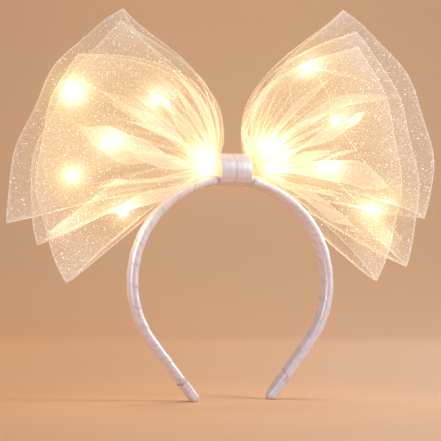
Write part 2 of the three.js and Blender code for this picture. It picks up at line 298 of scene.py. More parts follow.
# %% [markdown]
# ## The hoop's path
# The hoop is a half circle, two arcs that turn in towards the head, and two straight runs down to the tips.
# Its section is a rectangle with round corners, given by where each point sits on the square core and which
# way it faces, so that any depth and thickness can be made from it.

# %% Hoop path and section
HOOP_RADIUS = 66.0
LOWER_RADIUS = 61.5
LOWER_TURN = np.radians(38)
STRAIGHT = 44.7
HOOP_DEPTH = 11.0
HOOP_THICKNESS = 4.6
HOOP_CORNER = 1.93
CORNER_SHARE = 0.42
TIP_PRESS = 0.8
CLEARANCE = 0.35

UPPER_ARC = HOOP_RADIUS * np.pi / 2
LOWER_ARC = LOWER_RADIUS * LOWER_TURN
ARM = UPPER_ARC + LOWER_ARC + STRAIGHT
TIP_ROUND = HOOP_THICKNESS / 2
TIP_HEIGHT = TIP_ROUND - TIP_PRESS
HOOP_CENTRE = TIP_HEIGHT + LOWER_RADIUS * np.sin(LOWER_TURN) + STRAIGHT * np.cos(LOWER_TURN)
HOOP_TOP = HOOP_CENTRE + HOOP_RADIUS + HOOP_THICKNESS / 2
HOOP_ROUND = 2 * (HOOP_DEPTH + HOOP_THICKNESS)


def hoop_path(travel):
    """Centre of the hoop and its outward direction, at a signed travel from the apex: the direction turns
    by travel over the radius of the arc that it is on, and stays as it is along the straight run."""
    run = np.abs(travel)
    lower = np.clip((run - UPPER_ARC) / LOWER_RADIUS, 0, LOWER_TURN)
    turn = np.minimum(run, UPPER_ARC) / HOOP_RADIUS + lower
    beyond = np.maximum(run - UPPER_ARC - LOWER_ARC, 0)
    is_lower = run > UPPER_ARC
    radius = np.where(is_lower, LOWER_RADIUS, HOOP_RADIUS)
    side = np.where(travel < 0, -1.0, 1.0)
    x = np.where(is_lower, HOOP_RADIUS - LOWER_RADIUS, 0) + radius * np.sin(turn) + beyond * np.cos(turn)
    z = HOOP_CENTRE + radius * np.cos(turn) - beyond * np.sin(turn)
    centre = np.stack([side * x, np.zeros_like(x), z], -1)
    outward = np.stack([side * np.sin(turn), np.zeros_like(x), np.cos(turn)], -1)
    return centre, outward


def section_outline(share):
    """Core place and facing of the section's outline at a share of the way round it. The way goes round
    the hoop's own section: a quarter circle at each corner, then a straight side to the next."""
    half = np.array([HOOP_DEPTH, HOOP_THICKNESS]) / 2 - HOOP_CORNER
    quarter = HOOP_CORNER * np.pi / 2
    lengths = np.tile([quarter, 2 * half[0], quarter, 2 * half[1]], 2)
    ends = np.concatenate([[0], np.cumsum(lengths)])
    way = share % 1 * ends[-1]
    leg = np.clip(np.searchsorted(ends, way, side="right") - 1, 0, len(lengths) - 1)
    part = (way - ends[leg]) / lengths[leg]
    is_straight = leg % 2 == 1
    corners = np.array([[1, 1], [-1, 1], [-1, -1], [1, -1]])
    here, following = corners[leg // 2], corners[(leg // 2 + 1) % 4]
    core = mix(here, following, np.where(is_straight, part, 0)[..., None])
    angle = np.pi / 2 * (leg // 2 + np.where(is_straight, 1, part))
    return core, np.stack([np.cos(angle), np.sin(angle)], -1)


def hoop_skin(travel, share, depth=HOOP_DEPTH, thickness=HOOP_THICKNESS, lift=0.0):
    """Points on the skin of a hoop of some depth and thickness, lifted off it the way that they face."""
    travel, share, depth, thickness, lift = np.broadcast_arrays(travel, share, depth, thickness, lift)
    core, facing = section_outline(share)
    corner = np.minimum(HOOP_CORNER, CORNER_SHARE * thickness)
    half = np.stack([depth, thickness], -1) / 2 - corner[..., None]
    place = core * half + facing * (corner + lift)[..., None]
    centre, outward = hoop_path(travel)
    points = centre + outward * place[..., 1:]
    points[..., 1] += place[..., 0]
    return points


print("arm", round(ARM, 1), "mm, top of the hoop at", round(HOOP_TOP, 1), "mm")

# %% [markdown]
# ## The wound band
# The ribbon is wound round the hoop in one long helix, and each turn lies a little over the turn before, so
# every edge shows as a slanted step. A strip is therefore carried along the helix: one parameter counts the
# turns, and the other goes across the ribbon. The ribbon stands half a millimetre proud of the hoop, but
# lies flat inside the knot. A painted shade darkens its edges, deeper on the right arm, where the light
# hides the step. A plain core fills the hoop inside it.

# %% Wound band
WIND_PITCH = 13.2
WIND_WIDTH = 16.4
WIND_STEPS = 72
WIND_LIFT = 0.2
WIND_SINK = 0.1
WIND_WALL = 0.3
WIND_PUFF = 0.5
PUFF_SPAN = (9.0, 15.0)
TUCKED_DEPTH = 0.4
TUCKED_TURN = 0.35
WIND_EDGE_SHADE_WIDTH = 0.45
WIND_EDGE_SHADE_DEPTHS = (0.5, 1.15)
EDGE_SHADE_WIDTH = 0.3
TIP_COVER = 12.0
COVER_MOUTH = ARM - TIP_COVER
BAND_REACH = COVER_MOUTH - CLEARANCE
CORE_INSET = 0.45
CORE_FULL_INSET = -0.28
CORE_END_INSET = 1.55


def wound_strip():
    """The helix: travel grows by the pitch in each turn and by the width across the ribbon. The ribbon
    rises towards its first edge, which lies on the turn before. Each row is a closed section of the strip,
    its outer face one way and its inner face back."""
    turns = (BAND_REACH - WIND_WIDTH / 2) / WIND_PITCH
    turn = np.linspace(-turns, turns, int(2 * turns * WIND_STEPS))[:, None]
    across = np.array([0, 0.02, 0.05, 0.12, 0.22, 0.36, 0.52, 0.68, 0.82, 0.92, 1])[None, :]
    wander = 0.35 * np.sin(turn * 1.7) + 0.2 * np.sin(turn * 4.3 + 1)
    travel = turn * WIND_PITCH + (across - 0.5) * WIND_WIDTH + wander
    overlap = (WIND_WIDTH - WIND_PITCH) / WIND_WIDTH
    rise = 1 - smoothstep(across, overlap, overlap + 0.4)
    edge_round = 0.08 * np.exp(-((across / 0.02) ** 2))
    puff = WIND_PUFF * smoothstep(np.abs(travel), *PUFF_SPAN)
    tucked = TUCKED_DEPTH * smoothstep(np.abs(turn), turns - TUCKED_TURN, turns)
    lift = WIND_LIFT * rise - edge_round - WIND_SINK + puff - tucked
    outer = hoop_skin(travel, -turn, lift=lift)
    inner = hoop_skin(travel, -turn, lift=lift - WIND_WALL)
    weave = flat_place(turn * HOOP_ROUND, across * WIND_WIDTH)
    from_edge = np.minimum(across, 1 - across) * WIND_WIDTH
    # Painted shade along both edges of the ribbon, deeper on the right arm.
    edge_shade = mix(*WIND_EDGE_SHADE_DEPTHS, travel > 0) * np.exp(-((from_edge / WIND_EDGE_SHADE_WIDTH) ** 2))
    values = {
        "weave": np.concatenate([weave, weave[:, ::-1]], 1),
        "edge_shade": np.concatenate([edge_shade, edge_shade[:, ::-1]], 1),
    }
    return tube_surface(np.concatenate([outer, inner[:, ::-1]], 1), values)


def hoop_loft(travel, depth, thickness, columns, lift=0.0):
    """A tube along the hoop through rings of some depth and thickness."""
    share = np.arange(columns)[None, :] / columns
    rings = [np.asarray(v, float)[:, None] for v in (travel, depth, thickness)]
    points = hoop_skin(rings[0], share, rings[1], rings[2], lift)
    weave = flat_place(share * HOOP_ROUND, rings[0])
    return points, {"weave": weave, "edge_shade": np.zeros(points.shape[:2])}


def band_core():
    """The hoop under the ribbon, thinner at its ends, inside the tip covers."""
    body = np.linspace(-BAND_REACH, BAND_REACH, 90)
    end = ARM - CORE_END_INSET
    travel = np.concatenate([[-end, -BAND_REACH], body, [BAND_REACH, end]])
    thick = smoothstep(np.abs(travel), BAND_REACH - WIND_WIDTH - 3, BAND_REACH - WIND_WIDTH)
    inset = mix(CORE_INSET, CORE_FULL_INSET, thick)
    inset[[0, 1, -2, -1]] = CORE_END_INSET
    return tube_surface(*hoop_loft(travel, HOOP_DEPTH - 2 * inset, HOOP_THICKNESS - 2 * inset, 40))


band = make_piece("wound_band", join_surfaces([wound_strip(), band_core()]), satin)
dress(band, "satin_ribbon", "band")

# %% [markdown]
# ## The tip covers
# The last turn of ribbon is folded over each end of the hoop. It is a cup with a wall, round at its end and
# pressed flat where the headband stands. The fold leaves a few creases that run together at the end.

# %% Tip covers
COVER_WALL = 1.2
COVER_LAP = 1.0
END_ROUND = 3.0
END_BACK = 1.2
COVER_FLARE = 0.1
TIP_DEPTH = 10.0
TIP_TURN = np.radians(84)
CREASES = 5
CREASE_DEPTH = 0.22
COVER_COLUMNS = 72


def tip_cover(side):
    """Rings from the bottom of the pocket out to its mouth, over the lip, along the outside and round the
    end, where depth and thickness shrink as the rounding turns. Creases deepen towards the end."""
    along = np.linspace(0, 1, 24) ** 1.5
    turn = np.linspace(0, TIP_TURN, 14)[1:]
    drawn_in = 2 * END_ROUND * (1 - np.cos(turn))
    end = ARM - END_BACK
    lip = COVER_MOUTH - COVER_LAP
    outside = mix(lip, end, along)
    pocket = np.array([ARM - COVER_WALL, COVER_MOUTH, lip])
    travel = np.concatenate([pocket, outside, end + END_ROUND * np.sin(turn)])
    depth_here = mix(HOOP_DEPTH, TIP_DEPTH, np.clip((travel - COVER_MOUTH) / TIP_COVER, 0, 1))
    flare = COVER_FLARE * (1 - smoothstep(outside, COVER_MOUTH, COVER_MOUTH + 3))
    shrink = np.concatenate([[2 * COVER_WALL, 2 * COVER_WALL, -COVER_FLARE], -2 * flare, drawn_in])
    share = np.arange(COVER_COLUMNS)[None, :] / COVER_COLUMNS
    deepening = np.concatenate([np.zeros(3), along**2, np.linspace(1, 0.2, len(turn))])[:, None]
    wander = 0.1 * np.sin(6 * share)
    crease = CREASE_DEPTH * deepening * (np.cos(2 * np.pi * (CREASES * share + wander)) - 1)
    full = 2 * WIND_PUFF - shrink
    sizes = depth_here + full, HOOP_THICKNESS + full
    points, values = hoop_loft(side * travel, *sizes, COVER_COLUMNS, crease)
    points[..., 2] = np.maximum(points[..., 2], 0)
    # Painted shade at the mouth and lip of the cover, where it meets the band.
    values["edge_shade"][2:5] = np.array([0.12, 0.08, 0.02])[:, None]
    return tube_surface(points, values)


for side_name, side in SIDES.items():
    cover = make_piece(f"tip_fold_{side_name}", tip_cover(side), satin)
    dress(cover, "satin_ribbon", f"tip_cover_{side_name}")

# %% [markdown]
# ## The knot
# Two turns of ribbon lie side by side round the hoop and the gathered net, and the second laps over the
# first. A closed profile is carried round a closed path, and the ribbon is drawn so tight that small folds
# run all along it.

# %% Knot
KNOT_HALF_WIDTH = 10.5
KNOT_LAP = 1.6
KNOT_LAP_END = 4.0
KNOT_HALF_DEPTH = 5.85
KNOT_HEIGHT = 18.5
KNOT_FOLD = 0.012
KNOT_BULGE = 2.4
BULGE_HEIGHT = 0.9
INNER_RADIUS = HOOP_RADIUS - HOOP_THICKNESS / 2
KNOT_SAG = INNER_RADIUS - np.sqrt(INNER_RADIUS**2 - KNOT_HALF_WIDTH**2)
KNOT_BOTTOM = HOOP_TOP - HOOP_THICKNESS - KNOT_SAG


def knot_path(count):
    """Places and facings, in y and z, at equal steps round the knot: two small corners under the hoop, and
    a half circle over the net."""
    corner = 2.0 + CLEARANCE
    low = KNOT_BOTTOM + corner
    inset = KNOT_HALF_DEPTH - corner
    shoulder = KNOT_BOTTOM + KNOT_HEIGHT - KNOT_HALF_DEPTH
    arcs = [
        (inset, low, corner, np.linspace(-np.pi / 2, 0, 40)),
        (0.0, shoulder, KNOT_HALF_DEPTH, np.linspace(0, np.pi, 160)),
        (-inset, low, corner, np.linspace(np.pi, 1.5 * np.pi, 40)),
    ]
    way = [np.stack([y + r * np.cos(turn), z + r * np.sin(turn), turn], -1) for y, z, r, turn in arcs]
    way = np.concatenate(way + [[[inset, KNOT_BOTTOM, 1.5 * np.pi]]])
    length = np.concatenate([[0], np.cumsum(np.hypot(*np.diff(way[:, :2], axis=0).T))])
    at = np.arange(count) / count * length[-1]
    y, z, turn = (np.interp(at, length, way[:, k]) for k in range(3))
    return y, z, turn, at


def knot_turn(low, high, rest, top, phase):
    """One turn of ribbon between two x. rest and top are tables of x and height for its two faces, which
    bulge between the bottom and the top. The outer face also has fine folds, whose places wander."""
    rows = 200
    y, z, turn, at = (v[:, None] for v in knot_path(rows))
    x = low + (high - low) * (1 - np.cos(np.linspace(0, np.pi, 49))) / 2
    share = ((x - low) / (high - low))[None, :]
    way_round = 2 * np.pi * np.arange(rows)[:, None] / rows
    drift = 0.05 * np.sin(way_round + phase) + 0.03 * np.sin(3 * way_round + 2 * phase)
    folds = np.cos(2 * np.pi * (3.3 * share + 2 * drift + phase))
    folds = folds + 0.6 * np.cos(2 * np.pi * (7.7 * share - 3 * drift))
    edge = smoothstep(np.minimum(share, 1 - share), 0, 0.05)
    level = (z - KNOT_BOTTOM) / (KNOT_HEIGHT * BULGE_HEIGHT)
    bulge = KNOT_BULGE * np.sin(np.pi * np.clip(level, 0, 1))
    tight = mix(0.35, 1, smoothstep(level, 0, 0.25))
    base = np.interp(x, *np.array(rest).T)[None, :] * tight + bulge
    thickness = np.interp(x, *np.array(top).T)[None, :] * tight + bulge - base
    outer = base + thickness * mix(0.3, 1, edge**0.5) + KNOT_FOLD * folds * edge
    inner = np.broadcast_to(base, outer.shape)
    off = np.concatenate([inner, outer[:, ::-1]], 1)
    x_ring = np.broadcast_to(np.concatenate([x, x[::-1]])[None, :], off.shape)
    points = np.stack([x_ring, y + off * np.cos(turn), z + off * np.sin(turn)], -1)
    weave = flat_place(at, x_ring)
    # Painted shade along both edges of the turn, where the two turns meet.
    edge_shade = np.exp(-((np.minimum(x_ring - low, high - x_ring) / EDGE_SHADE_WIDTH) ** 2))
    return sheet_surface(points, {"weave": weave, "edge_shade": edge_shade}, wrap_rows=True, wrap_columns=True)


lap = KNOT_LAP / 2
under_rest = [(-KNOT_HALF_WIDTH, 0), (lap, 0)]
under_top = [(-KNOT_HALF_WIDTH, 1.2), (-7, 1.3), (-3.5, 1.35), (-lap, 1.3), (lap, 0.7)]
over_rest = [(-lap, 1.36), (lap, 0.76), (KNOT_LAP_END, 0), (KNOT_HALF_WIDTH, 0)]
over_top = [(-lap, 1.5), (lap, 1.6), (KNOT_LAP_END, 1.6), (7, 1.5), (KNOT_HALF_WIDTH, 1.3)]
under_turn = knot_turn(-KNOT_HALF_WIDTH, lap, under_rest, under_top, 0.2)
over_turn = knot_turn(-lap, KNOT_HALF_WIDTH, over_rest, over_top, 0.55)
knot_under = make_piece("knot_turn_under", under_turn, satin)
knot_over = make_piece("knot_turn_over", over_turn, satin)
dress(knot_under, "satin_ribbon", "knot_under")
dress(knot_over, "satin_ribbon", "knot_over")

# %% [markdown]
# ## The lamps' wire
# A thin wire runs out of the knot, wanders through the middle of each loop and comes back. The lamps sit on
# it. Its points are those of the CAD model, joined by a centripetal Catmull-Rom curve, which passes through
# every point without overshooting. The nets need the lamps' places too, so the route comes first.

# %% Wire routes
LEFT_ROUTE = [
    (-4, 147.5), (-20, 147), (-46, 131), (-72.5, 117.5), (-92, 122), (-104.5, 139), (-91, 148),
    (-83, 159.5), (-97, 174), (-104.5, 190.5), (-90, 199), (-52, 189), (-33, 168), (-22, 156),
    (-13, 152), (-4, 151.5),
]
RIGHT_ROUTE = [
    (4, 147.5), (27, 148.5), (62.5, 149.5), (84, 133), (99, 124.5), (104, 139), (88, 164),
    (73, 183), (66, 204), (52, 216), (41, 207), (43, 174), (30, 159.5), (21, 163.5),
    (13, 153), (4, 151.5),
]
ROUTES = {"left": np.array(LEFT_ROUTE, float), "right": np.array(RIGHT_ROUTE, float)}
LAMPS_AT = {"left": [1, 3, 5, 7, 9, 11, 13], "right": [1, 2, 4, 7, 9, 12, 13]}


def wire_curve(route, steps):
    """Points and unit directions along the curve. Each span is a cubic between two route points, and the
    slope at a point blends the spans beside it, weighted by the square roots of their lengths."""
    ends = 2 * route[[0, -1]] - route[[1, -2]]
    knots = np.concatenate([ends[:1], route, ends[1:]])
    step = np.sqrt(np.linalg.norm(np.diff(knots, axis=0), axis=1))[:, None]
    rate = np.diff(knots, axis=0) / step
    slope = rate[:-1] + rate[1:] - (knots[2:] - knots[:-2]) / (step[:-1] + step[1:])
    first, last = route[:-1, None], route[1:, None]
    leave, arrive = (slope[:-1] * step[1:-1])[:, None], (slope[1:] * step[1:-1])[:, None]
    t = np.linspace(0, 1, steps, endpoint=False)[None, :, None]
    square = -3 * first + 3 * last - 2 * leave - arrive
    cube = 2 * first - 2 * last + leave + arrive
    place = first + leave * t + square * t**2 + cube * t**3
    heading = leave + 2 * square * t + 3 * cube * t**2
    place = np.concatenate([place.reshape(-1, 2), route[-1:]])
    heading = np.concatenate([heading.reshape(-1, 2), slope[-1:]])
    return place, heading / np.linalg.norm(heading, axis=1, keepdims=True)


LAMP_PLACES = np.concatenate([ROUTES[s][LAMPS_AT[s]] for s in SIDES])
print(len(LAMP_PLACES), "lamps")

# %% [markdown]
# ## Glitter net
# The bow is three loops of very fine net, one inside the other. Net is mostly holes, so each layer lets
# most of the view through, and what is seen is how much thread lies on the way. The value cover is that
# share. It is high where the net is gathered, along its edges and where a fold turns. The holes themselves
# are a cell pattern on the flat net. A painted glow stands for the lamps' light that the threads scatter,
# and the net's colour is painted gold where that light falls.

# %% Net finish
NET_PALE = (0.97, 0.90, 0.86, 1)
CELLS_PER_MM = 0.62

net_finish, flow = start_finish("glitter_net")
flat = own_vector(flow, "flat")
cells = flow.node(
    "ShaderNodeTexVoronoi", {"Vector": flat, "Scale": CELLS_PER_MM}, {"feature": "DISTANCE_TO_EDGE"}
)
thread = 1 - cells.rise(0.04, 0.30)
grain = flat.noise(0.9, 3.0)
plain = own_value(flow, "doubled") * 0.75
cover = own_value(flow, "cover") * ((thread * 0.45 + 0.76) * (grain * 0.6 + 0.7) * (1 - plain) + plain)
# Painted lamp light: the colour turns gold and the net glows where the lamps' light falls.
end_finish(flow, {
    "Base Color": (grain.rise(0.4, 0.7) * 0.35).blend(own_vector(flow, "lamplit_tint"), NET_PALE),
    "Roughness": 0.55,
    "Alpha": cover.math("MINIMUM", 0.97),
    "Emission Color": own_vector(flow, "painted_light"),
    "Emission Strength": 1.0,
    "Specular IOR Level": 0.3,
})
print("net with", len(net_finish.node_tree.nodes), "nodes")

# %% [markdown]
# ## The loops of net
# Each net is a ring of cloth, gathered in the middle by the knot, so that it makes a loop on the left and
# one on the right. A point has a share along the run from the knot to the fold, and a share across from
# the lower edge to the upper one. A fan of angles and reaches places it. A pleat runs out from the knot and
# turns the cloth back over itself, which shows as a leaf-shaped band with two crisp edges.

# %% Net shapes
NECK_X = 13.0
NECK_LOW = -9.0
NECK_HIGH = {"left": 118.0, "right": 113.0}
NECK_POWERS = (2.0, 1.7)
NECK_BOTTOM = HOOP_TOP + CLEARANCE
NECK_MIDDLE = NECK_BOTTOM + 3.6
FOLD_POWER = 0.8
PINCH = 0.55
PINCH_START = 0.7
WAVES = 7.0
WAVE_DEPTH = 0.08
PLEAT_RISE = 45.0
PLEAT_REACH = 130.0
PLEAT_LOW = (-9.0, -38.0)
PLEAT_HIGH = (95.0, 57.0)
PLEAT_STRENGTH = 3.2
PLEAT_LIFT = 0.25
PLEAT_FADES = (0.12, 0.35)
TIP_FADE = 0.75
PLEAT_OUTS = (0.2, 0.45, 0.65, 0.85)
FRONT_PLEATS = {
    ("left", "net_outer"): [
        ((28.5, 28.5, 28.3, 28), 2.8, 0.04, 0.84),
        ((38, 42, 45, 46), 1.8, 0.02, 0.62),
        ((56, 54, 51, 48), 2.2, 0.02, 0.60),
        ((6, 2, 0, 2), 1.6, 0.02, 0.60),
    ],
    ("left", "net_middle"): [
        ((5, 7, 11, 19), 7.5, 0.02, 0.86),
        ((-11, -13, -10, -4), 1.9, 0.02, 0.80),
        ((47, 44, 40, 38), 2.0, 0.02, 0.58),
        ((74, 66, 58, 50), 2.6, 0.02, 0.55),
    ],
    ("left", "net_inner"): [
        ((-21, -22, -23, -23), 4.2, 0.02, 0.76),
        ((-30, -32, -33, -34), 1.5, 0.02, 0.72),
        ((30, 25, 22, 20), 2.0, 0.02, 0.60),
    ],
    ("right", "net_outer"): [
        ((52, 43, 35, 27), 3.0, 0.02, 0.95),
        ((28, 27.5, 28, 28), 3.2, 0.02, 0.80),
        ((69, 56, 50, 46), 2.2, 0.02, 0.66),
        ((5, 6, 8, 8), 1.6, 0.02, 0.62),
    ],
    ("right", "net_middle"): [
        ((4, 1, -4, -8), 7.5, 0.02, 0.86),
        ((95, 77, 60, 50), 3.2, 0.02, 0.76),
        ((100, 80, 51, 28), 1.8, 0.45, 0.98),
        ((38, 34, 30, 28), 1.8, 0.02, 0.50),
    ],
    ("right", "net_inner"): [
        ((-17, -26, -26, -25), 3.4, 0.02, 0.74),
        ((9, 11.5, 15, 17), 1.4, 0.02, 0.72),
        ((60, 52, 46, 42), 2.2, 0.02, 0.60),
    ],
}
BACK_PLEATS = [
    ((-6, -9, -10, -10), 2.2, 0.02, 0.66),
    ((17, 16, 17, 18), 3.0, 0.02, 0.66),
    ((44, 38, 34, 32), 2.4, 0.02, 0.70),
    ((92, 74, 60, 50), 2.8, 0.02, 0.66),
]
FAN_KEYS = ("low", "low_reach", "high", "high_reach", "low_crown", "high_crown", "bend")
NETS = {
    "net_outer": {
        "gap": 5.0, "height": 7.2, "fullness": 24.0, "width": 142.0, "threads": 1.0,
        "droop": (0.0, 0.15, 4.0),
        "left": (-14.7, 135.8, 58.1, 113.0, -0.026, -0.018, -2.0),
        "right": (-10.9, 128.7, 58.6, 126.8, 0.045, 0.018, 1.3),
    },
    "net_middle": {
        "gap": 3.3, "height": 9.4, "fullness": 17.0, "width": 140.0, "threads": 1.0,
        "droop": (0.05, 0.25, 4.0),
        "left": (-22.9, 122.0, 54.6, 105.7, 0.005, -0.05, 2.0),
        "right": (-27.0, 126.2, 50.4, 119.6, -0.012, -0.012, 6.0),
    },
    "net_inner": {
        "gap": 1.6, "height": 10.5, "fullness": 11.0, "width": 128.0, "threads": 1.5,
        "droop": (0.12, 0.45, 4.2),
        "left": (-36.7, 117.8, 34.9, 107.8, 0.0, 0.0, 8.0),
        "right": (-37.0, 112.0, 46.3, 112.0, -0.018, -0.018, 5.0),
    },
}
FOLD_WAVE = 0.012
TUCKS = 11.0
TUCK_LEAN = 1.3
TUCK_DEPTH = 0.9
TUCK_START = (4.0, 22.0)
TUCK_END = (35.0, 95.0)


def pleats_at(pleats, angle, distance):
    """Turn in degrees and lift in millimetres that pleats give the cloth. In each pleat, u counts
    half-widths from its middle line, and the turn is -strength * u * exp(-u*u / 2) half-widths: above a
    strength of 1 the cloth doubles back over itself. The lift grows with u, so that the three layers lie on
    each other."""
    out = distance / PLEAT_REACH
    turn = np.zeros(angle.shape)
    lift = np.zeros(angle.shape)
    for angles, width, start, tip in pleats:
        middle = np.interp(out, PLEAT_OUTS, angles)
        ending = smoothstep(out, tip - PLEAT_FADES[1], tip)
        strength = smoothstep(out, start, start + PLEAT_FADES[0]) * (1 - ending)
        u = (angle - middle) / width
        turn = turn - PLEAT_STRENGTH * strength * width * u * np.exp(-u * u / 2)
        lift = lift + PLEAT_LIFT * strength * np.radians(width) * distance * u * np.exp(-u * u / 8)
    return turn, lift


def net_run(name, side_name, along, across, face):
    """Points of one face of a loop. Angles and reaches of the fan go from the knot's to the fold's, the
    face stands off the middle by the loop's fullness, and pleats and small tucks wave and lean it."""
    net = NETS[name]
    side = SIDES[side_name]
    fan = dict(zip(FAN_KEYS, net[side_name]))
    low = mix(fan["low"], NECK_LOW, (1 - along) ** NECK_POWERS[0])
    high = mix(fan["high"], NECK_HIGH[side_name], (1 - along) ** NECK_POWERS[1])
    high = high + fan["bend"] * 4 * along * (1 - along)
    angle = np.radians(mix(low, high, across))
    swell = 6.75 * across * (1 - across) * along
    crown = 1 + swell * mix(fan["low_crown"], fan["high_crown"], across)
    ripple = np.sin(2 * np.pi * (2.6 * across + 0.13 * net["gap"])) * np.sin(np.pi * across)
    crown = crown + FOLD_WAVE * along**3 * ripple
    reach = mix(fan["low_reach"], fan["high_reach"], across) * crown * along
    x = NECK_X + reach * np.cos(angle)
    z = NECK_BOTTOM + net["height"] * across + reach * np.sin(angle)

    away, up = x - NECK_X, z - NECK_MIDDLE
    distance = np.hypot(away, up)
    out = np.minimum(distance / PLEAT_REACH, 1)
    pleat_low, pleat_high = mix(*PLEAT_LOW, out), mix(*PLEAT_HIGH, out)
    share = (np.degrees(np.arctan2(up, away)) - pleat_low) / (pleat_high - pleat_low)
    wave = np.cos(2 * np.pi * (WAVES * share + 0.3 * net["gap"]))
    tuck = np.cos(2 * np.pi * (TUCKS * share + 0.6 * np.sin(3 * share + net["gap"])))
    start = np.arctan2(up, away)
    pleats = FRONT_PLEATS[side_name, name] if face < 0 else BACK_PLEATS
    pleat_turn, lift = pleats_at(pleats, np.degrees(start), distance)

    opened = np.maximum(np.sin(np.pi * along), 0) ** FOLD_POWER
    pinched = 1 - PINCH * smoothstep(across, PINCH_START, 1)
    half = net["gap"] * (1 - along) + net["fullness"] * opened * pinched
    rise = smoothstep(distance, 0, PLEAT_RISE)
    near = smoothstep(distance, *TUCK_START) * (1 - smoothstep(distance, *TUCK_END))
    edge = smoothstep(np.minimum(across, 1 - across), 0, 0.06)
    y = face * (half * (1 + WAVE_DEPTH * rise * wave) + TUCK_DEPTH * near * tuck + lift * edge)

    tuck_turn = TUCK_LEAN * near * tuck / TUCKS * (pleat_high - pleat_low) / (2 * np.pi)
    turned = start + np.radians(pleat_turn + tuck_turn) * edge
    slope = np.gradient(turned, axis=1) / np.maximum(np.gradient(start, axis=1), 1e-6)
    droop_start, droop_end, droop_depth = net["droop"]
    droop_in = smoothstep(along, droop_start, droop_start + 0.1)
    droop_out = smoothstep(along, droop_end, droop_end + 0.4)
    droop = droop_depth * droop_in * (1 - droop_out) * (1 - across) ** 4
    points = np.stack(
        [
            side * (NECK_X + distance * np.cos(turned)),
            y,
            NECK_MIDDLE + distance * np.sin(turned) - droop,
        ],
        -1,
    )
    doubled = smoothstep(-slope, -0.15, 0.25) * (1 - TIP_FADE * smoothstep(out, 0.3, 0.8))
    front = np.full(y.shape, 1.0 if face < 0 else 0.0)
    from_fold = np.broadcast_to((1 - along) * PLEAT_REACH, y.shape)
    return points, np.stack([doubled, front, from_fold], -1)


def net_ring(name):
    """The whole ring of net: front from the left fold through the knot to the right fold, then the back."""
    along = 1 - np.linspace(0, 1, 76)[:, None] ** 1.35
    edge = np.array([0, 0.004, 0.009, 0.016])
    across = np.concatenate([edge, np.linspace(0.022, 0.978, 240), 1 - edge[::-1]])[None, :]
    neck = np.linspace(-1, 1, 8)[1:-1]
    runs = []
    for face in (-1, 1):
        left = np.concatenate(net_run(name, "left", along, across, face), -1)
        right = np.concatenate(net_run(name, "right", along, across, face), -1)[::-1]
        share = ((neck + 1) / 2)[:, None, None]
        between = mix(left[-1], right[0], share)
        run = np.concatenate([left, between, right])
        runs.append(run if face < 0 else run[::-1][1:-1])
    ring = np.concatenate(runs)
    return ring[..., :3], across, ring[..., 3], ring[..., 4], ring[..., 5]


rings = {name: net_ring(name) for name in NETS}
print("net ring", rings["net_outer"][0].shape)

# %% [markdown]
# ## Cover and painted lamp light
# Net keeps its threads when it is gathered, so cover grows as the surface shrinks below its flat width. A
# lamp's light falls off with distance: a small bright patch, a wider one and a faint far one. Each lamp has
# its own share of brightness. Warm white turns to amber away from the lamp. This light is painted on the
# net, as a glow and as a gold tint of its colour.

# %% Net values
THREAD_SHARE = 0.060
COVER_POWER = 0.8
GATHERS = (0.7, 10.0)
LEAST_FACING = 0.35
FACE_COVERS = (0.75, 1.25)
EDGE_COVER = 0.75
EDGE_WIDTH = 0.9
FOLD_COVER = 0.5
FOLD_WIDTH = 0.9
HEM_COVER = 0.9
HEM_START = 0.72
GLOWS = ((2.3, 7.2, 2.0), (0.7, 12.5, 1.0), (0.08, 30.0, 1.0))
LAMP_SHARES = (0.5, 0.7, 0.65, 1, 1, 1.35, 0.5, 0.5, 0.95, 1, 1.15, 1, 0.5, 0.5)
GLOW_NEAR = np.array((1.0, 0.93, 0.72))
GLOW_FAR = np.array((1.0, 0.76, 0.33))
GLOW_FLATTEN = 0.2
GLOW_TOP = 2.2
NET_WHITE = np.array((0.76, 0.72, 0.70))
NET_LAMPLIT_GOLD = np.array((0.64, 0.49, 0.27))
MARGIN_COVER = 1.6
MARGIN = (0.55, 0.9)
WARM_GLOW = 0.16
DOUBLED_SHINE = 0.1
DOUBLED_COVER = 5.8


def lamp_glow(points):
    """Light at points from all the lamps: a sum of falling curves of the distance, with depth counted less
    because the threads in between pass the light on. It levels off where lamps are close together."""
    total = np.zeros(points.shape[:-1])
    for (x, z), share in zip(LAMP_PLACES, LAMP_SHARES):
        away = (points - np.array([x, 0, z])) * np.array([1, GLOW_FLATTEN, 1])
        distance = np.linalg.norm(away, axis=-1)
        for strength, scale, power in GLOWS:
            total += share * strength * np.exp(-((distance / scale) ** power))
    return GLOW_TOP * (1 - np.exp(-total / GLOW_TOP))


def glow_colour(glow):
    """Amber for faint light, and warm white for strong light."""
    return glow[..., None] * mix(GLOW_FAR, GLOW_NEAR, smoothstep(glow, 0.1, 1.5)[..., None])


def reach_share(points):
    """Distance from the middle of the neck, as a share of the pleats' reach."""
    return np.hypot(np.abs(points[..., 0]) - NECK_X, points[..., 2] - NECK_MIDDLE) / PLEAT_REACH


